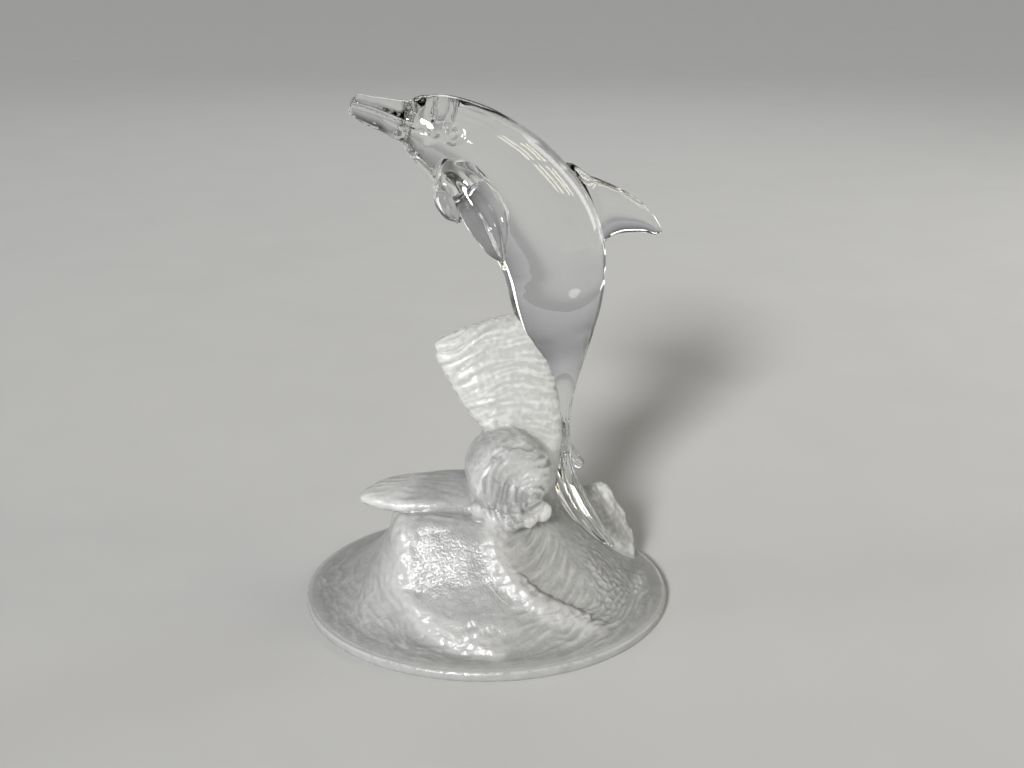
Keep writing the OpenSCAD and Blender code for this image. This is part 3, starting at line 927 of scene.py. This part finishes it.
def frosted_look(name, dull, bright, transmission, rough, bump_size, bump_height):
    """Etched glass with patches of differing roughness, whose colour holds painted shade and painted
    highlight: greyer in furrows and whiter on ridges and wave lips, following the sea's shape, with a random
    mottle.
    """
    look = Look(name)
    look.shader.inputs["Transmission Weight"].default_value = transmission
    look.shader.inputs["IOR"].default_value = GLASS_IOR
    # Painted shade and painted highlight: the sea's furrows take the dull colour and its ridges and lips the
    # bright one.
    raised = look.add("ShaderNodeAttribute", attribute_name="raised")
    mottle = look.ranged(look.noise(4, 3.0), -0.12, 0.12)
    both = look.add("ShaderNodeMath", operation="ADD", use_clamp=True)
    look.wire(raised.outputs["Fac"], both.inputs[0])
    look.wire(mottle, both.inputs[1])
    tint = look.add("ShaderNodeMix", data_type="RGBA")
    tint.inputs["A"].default_value = dull
    tint.inputs["B"].default_value = bright
    look.wire(look.ranged(both.outputs["Value"], 0, 1, 0.25, 0.8), tint.inputs["Factor"])
    look.wire(tint.outputs["Result"], look.shader.inputs["Base Color"])
    look.wire(look.ranged(look.noise(1.6, 3.0), rough[0], rough[1]), look.shader.inputs["Roughness"])
    look.bump(look.noise(bump_size, 2.5, 0.6), bump_height)
    return look.material


def seam_look():
    """Cut faces inside the casting: light goes straight through, so the pieces refract as one."""
    look = Look("seam")
    look.shader.inputs["Alpha"].default_value = 0.0
    look.shader.inputs["IOR"].default_value = GLASS_IOR
    look.wire(look.ranged(look.noise(9), 0.1, 0.2), look.shader.inputs["Roughness"])
    return look.material


SLOTS = [
    clear_look(),
    # In both frosted looks, dull is the colour of painted shade in the furrows and bright that of painted
    # highlight on the ridges and lips.
    frosted_look(
        "frosted_crystal", dull=(0.68, 0.69, 0.675, 1), bright=(1.0, 1.0, 0.985, 1), transmission=0.64,
        rough=(0.06, 0.24), bump_size=0.7, bump_height=0.22,
    ),
    seam_look(),
    frosted_look(
        "crinkled_crystal", dull=(0.84, 0.85, 0.84, 1), bright=(1.0, 1.0, 0.99, 1), transmission=0.76,
        rough=(0.04, 0.16), bump_size=1.0, bump_height=0.4,
    ),
]


# ------------------------------------------------------------------ the casting and its parting

CRUMB = 1.5  # mm3; a smaller loose bit is dropped
FROSTED_NODES = (
    "foot_disc", "sea_swell", "front_left_wave_lip", "front_wave_lip", "left_wave_crest", "wave_curl",
    "curl_foam", "standing_wave", "rear_splash",
)
CLEARANCE = 2.5  # how far a wave's cutter stands off its form, to take its relief along, in mm


def box_space(low, high):
    """A cutter box between two corners in mm."""
    outline = ((low[0], low[1]), (high[0], low[1]), (high[0], high[1]), (low[0], high[1]))
    rings = np.array([[(x, y, z) for x, y in outline] for z in (low[2], high[2])], float)
    return loft("box_space", rings, SEAM)


pieces = {}

body = body_form()
dolphin = duplicate(body, "dolphin")
for make in (dorsal_form, left_pectoral_form, right_pectoral_form, left_fluke_form, right_fluke_form):
    fin = make()
    combine(dolphin, fin, "UNION")
    remove(fin)
eyes = {"left_eye": eye_form("left_bead", -1), "right_eye": eye_form("right_bead", 1)}
for bead in eyes.values():
    combine(dolphin, bead, "UNION")

casting = sea_surface()
sea_skin = KDTree(len(casting.data.vertices))
for i, v in enumerate(casting.data.vertices):
    sea_skin.insert(v.co, i)
sea_skin.balance()
# The sea's painted shade in furrows and painted highlight on ridges and lips, worked out before it is
# parted.
sea_raised = raisedness(casting.data)
foot = foot_form()
combine(casting, foot, "UNION")
remove(foot)
combine(casting, dolphin, "UNION")

skin = inflated(dolphin, "dolphin_space", SKIN_GAP)
remove(dolphin)
dolphin = take(casting, skin, "dolphin")
for node, bead in eyes.items():
    pieces[node] = take(dolphin, inflated(bead, "eye_space", SKIN_GAP), node + "_glass")
    remove(bead)
pieces["lower_jaw"] = take(dolphin, jaw_space(), "lower_jaw_glass")
pieces["dolphin_body"] = take(dolphin, inflated(body, "body_space", SKIN_GAP), "dolphin_body_glass")
remove(body)

FIN_ROOMS = {  # a box for each fin, in mm, that holds it and nothing else once the body is gone
    "dorsal_fin": ((6, -20, 90), (60, 20, 150)),
    "left_pectoral_fin": ((-20, -40, 90), (6, 0, 150)),
    "right_pectoral_fin": ((-20, 0, 90), (6, 40, 150)),
    "left_fluke": ((0, -60, 0), (60, 0, 70)),
    "right_fluke": ((0, 0, 0), (60, 60, 70)),
}
for node, (low, high) in FIN_ROOMS.items():
    pieces[node] = take(dolphin, box_space(low, high), node + "_glass")
remove(dolphin)

under = box_space((-80, -80, -5), (80, 80, FOOT_HEIGHT))  # wider than the foot and lower
pieces["foot_disc"] = take(casting, under, "foot_disc_glass")
WAVES = {
    "curl_foam": froth_form, "wave_curl": curl_form, "front_left_wave_lip": left_lip_form,
    "front_wave_lip": front_lip_form, "left_wave_crest": crest_form, "rear_splash": splash_form,
    "standing_wave": standing_form,
}
for node, make in WAVES.items():
    pieces[node] = take(casting, as_cutter(make(CLEARANCE)), node + "_glass")
casting.name = "sea_swell_glass"
pieces["sea_swell"] = casting

WELD = 2e-6  # metres; corners nearer than this are one corner
HEAL_ROUNDS = 4
# The next value is the painted light for glass that isn't sea skin, between painted shade and painted
# highlight.
FLAT_PAINTED_LIGHT = 0.45  # raisedness of glass that isn't sea skin
SHARP_FROSTED, SHARP_CLEAR = math.radians(62), math.radians(38)


def heal(work):
    """Welds slivers, then takes out the flaps and fills the pinholes that they leave."""
    bmesh.ops.remove_doubles(work, verts=work.verts[:], dist=WELD)
    bmesh.ops.dissolve_degenerate(work, edges=work.edges[:], dist=WELD)
    for _ in range(HEAL_ROUNDS):
        work.verts.index_update()
        by_corners = {}
        for face in work.faces:
            by_corners.setdefault(tuple(sorted(v.index for v in face.verts)), []).append(face)
        flaps = [face for faces in by_corners.values() if len(faces) > 1 for face in faces]
        bmesh.ops.delete(work, geom=flaps, context="FACES")
        bare = [e for e in work.edges if not e.link_faces]
        bmesh.ops.delete(work, geom=bare, context="EDGES")
        rims = [e for e in work.edges if len(e.link_faces) == 1]
        if rims:
            bmesh.ops.holes_fill(work, edges=rims, sides=0)
            bmesh.ops.triangulate(work, faces=[f for f in work.faces if len(f.verts) > 3])
    bmesh.ops.delete(work, geom=[v for v in work.verts if not v.link_faces], context="VERTS")


def drop_crumbs(piece):
    """Deletes loose bits that the cutters left between two neighbours."""
    part = loose_parts(piece)
    mesh = piece.data
    points = points_of(mesh)
    work = bmesh.new()
    work.from_mesh(mesh)
    bmesh.ops.triangulate(work, faces=work.faces[:])
    corners = np.array([[v.index for v in f.verts] for f in work.faces])
    a, b, c = (points[corners[:, k]] for k in range(3))
    share = np.einsum("ij,ij->i", a, np.cross(b, c)) / 6
    volume = np.bincount(part[corners[:, 0]], share, minlength=len(points))
    crumbs = [v for v in work.verts if volume[part[v.index]] < CRUMB]
    bmesh.ops.delete(work, geom=crumbs, context="VERTS")
    heal(work)
    work.to_mesh(mesh)
    work.free()


def mark_raised(mesh):
    """Gives a piece the painted light level that the sea had there before it was parted: painted shade in
    furrows and painted highlight on ridges and lips, for the frosted colour.
    """
    found = [sea_skin.find(v.co)[1:] for v in mesh.vertices]
    value = [sea_raised[i] if gap < 1.5 * SEA_VOXEL * MM else FLAT_PAINTED_LIGHT for i, gap in found]
    mesh.attributes.new("raised", "FLOAT", "POINT").data.foreach_set("value", value)


for node, piece in pieces.items():
    drop_crumbs(piece)
    frosted = node in FROSTED_NODES
    if frosted:
        mark_raised(piece.data)
    piece.data.polygons.foreach_set("use_smooth", [True] * len(piece.data.polygons))
    piece.data.set_sharp_from_angle(angle=SHARP_FROSTED if frosted else SHARP_CLEAR)
    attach(piece, "root")
    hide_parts(node)


# ------------------------------------------------------------------ floor and light

FLOOR_HALF = 8.0  # m
MIDDLE = (0.0, 0.0, 0.08)  # where the studio lamps point, in m
SUN_PLACE = (-0.95, -1.6, 0.9)
CHEEK = (8.4, -80)  # along the body and round it, as for skin_at
BACK_OF_BODY = (11.2, -52)
WINDOW_COLUMNS = (-0.3325, -0.1425, 0.1425, 0.3325)  # two and two panes side by side, in m
WINDOW_ROWS = (-0.17, 0.17)
PANE_WIDTH, PANE_HEIGHT = 0.11, 0.28
WARM = (1.0, 0.93, 0.74)


def aim(obj, target):
    """Turns a lamp at its place to face a point, both in metres."""
    obj.rotation_euler = (Vector(target) - obj.location).to_track_quat("-Z", "Y").to_euler()


def softbox(name, place, target, width, height, power, colour=(1, 1, 1)):
    """An evenly bright rectangle that faces the target, in m and W."""
    data = bpy.data.lights.new(name, "AREA")
    data.shape, data.size, data.size_y = "RECTANGLE", width, height
    data.energy, data.color = power, colour
    lamp = bpy.data.objects.new(name, data)
    scene.collection.objects.link(lamp)
    lamp.location = place
    aim(lamp, target)
    return lamp


def skin_at(t, turn):
    """A point of the smooth body in mm. t counts points of BODY_LINE, and turn is 0 on the back and
    -90 degrees on the left side."""
    line = smooth_curve(BODY_LINE, np.array([t - 0.01, t, t + 0.01]))
    run = unit(line[2, :2] - line[0, :2])
    x, z, depth, width = line[1]
    up, side = depth * math.cos(math.radians(turn)), width * math.sin(math.radians(turn))
    return np.array([x - run[1] * up, side, z + run[0] * up])


def skin_point(t, turn):
    """A point of the smooth body in mm, and the normal there."""
    along = skin_at(t + 0.02, turn) - skin_at(t - 0.02, turn)
    across = skin_at(t, turn + 0.5) - skin_at(t, turn - 0.5)
    normal = unit(np.cross(along, across))
    point = skin_at(t, turn)
    out = point - skin_at(t, turn + 180)
    return point, normal * np.sign(normal @ out)


def mirrored(t, turn, distance):
    """A point of the body, and where a lamp must stand to be mirrored in it to the camera, in m."""
    point, normal = skin_point(t, turn)
    point = point * MM
    look = unit(point - np.array(camera.location))
    return point, point + (look - 2 * (look @ normal) * normal) * distance


def add_floor():
    """A plain pale floor, mottled too faintly to see."""
    mesh = bpy.data.meshes.new("floor")
    corners = [(x * FLOOR_HALF, y * FLOOR_HALF, 0) for x, y in ((-1, -1), (1, -1), (1, 1), (-1, 1))]
    mesh.from_pydata(corners, [], [(0, 1, 2, 3)])
    floor = bpy.data.objects.new("floor", mesh)
    scene.collection.objects.link(floor)
    look = Look("floor_pale")
    tint = look.add("ShaderNodeMix", data_type="RGBA")
    tint.inputs["A"].default_value = (0.5, 0.5, 0.494, 1)
    tint.inputs["B"].default_value = (0.515, 0.515, 0.508, 1)
    look.wire(look.ranged(look.noise(60, 3.0), 0.0, 1.0), tint.inputs["Factor"])
    look.wire(tint.outputs["Result"], look.shader.inputs["Base Color"])
    look.wire(look.ranged(look.noise(20), 0.75, 0.9), look.shader.inputs["Roughness"])
    mesh.materials.append(look.material)


def add_world():
    """Even soft light that is dimmer overhead, so the clear glass has something dark to bend."""
    world = bpy.data.worlds.new("studio")
    world.use_nodes = True
    tree = world.node_tree
    place = tree.nodes.new("ShaderNodeTexCoord")
    split = tree.nodes.new("ShaderNodeSeparateXYZ")
    ramp = tree.nodes.new("ShaderNodeValToRGB")
    for stop, height, grey in zip(ramp.color_ramp.elements, (0.0, 0.45), (0.4, 0.03)):
        stop.position, stop.color = height, (grey, grey, grey, 1)
    tree.links.new(place.outputs["Generated"], split.inputs["Vector"])
    tree.links.new(split.outputs["Z"], ramp.inputs["Fac"])
    tree.links.new(ramp.outputs["Color"], tree.nodes["Background"].inputs["Color"])
    scene.world = world


def add_lights():
    """A soft key light from the camera's left, fill from both sides and behind, and two lamps that
    the photograph shows mirrored in the dolphin: a spot on its cheek and a window on its back."""
    sun = bpy.data.objects.new("soft_sun", bpy.data.lights.new("soft_sun", "SUN"))
    sun.data.energy, sun.data.angle = 4.6, math.radians(11)
    sun.location = SUN_PLACE
    scene.collection.objects.link(sun)
    aim(sun, MIDDLE)
    softbox("left_strip", (-0.95, 0.1, 0.45), MIDDLE, 0.25, 0.8, 2)
    softbox("right_strip", (0.95, 0.25, 0.5), MIDDLE, 0.25, 0.8, 2)
    softbox("back_light", (0.3, 1.2, 0.8), MIDDLE, 0.7, 0.3, 1.5)
    point, place = mirrored(*CHEEK, 0.9)
    spot = softbox("cheek_spot", place, point, 0.05, 0.05, 0.2)
    spot.visible_transmission = False
    point, place = mirrored(*BACK_OF_BODY, 1.4)
    across = unit(np.cross(place - point, (0, 0, 1)))
    up = unit(np.cross(across, place - point))
    for column, sideways in enumerate(WINDOW_COLUMNS):
        for row, upwards in enumerate(WINDOW_ROWS):
            pane = place + across * sideways + up * upwards
            softbox(f"window_{column}_{row}", pane, point, PANE_WIDTH, PANE_HEIGHT, 0.62, WARM)


add_floor()
add_world()
add_lights()

scene.view_settings.view_transform = "Standard"
scene.cycles.max_bounces = 28
scene.cycles.transmission_bounces = 28
scene.cycles.glossy_bounces = 8
scene.cycles.diffuse_bounces = 6
scene.cycles.transparent_max_bounces = 96
scene.cycles.caustics_refractive = True
scene.cycles.caustics_reflective = True
scene.cycles.blur_glossy = 0.6
scene.cycles.sample_clamp_indirect = 4.0
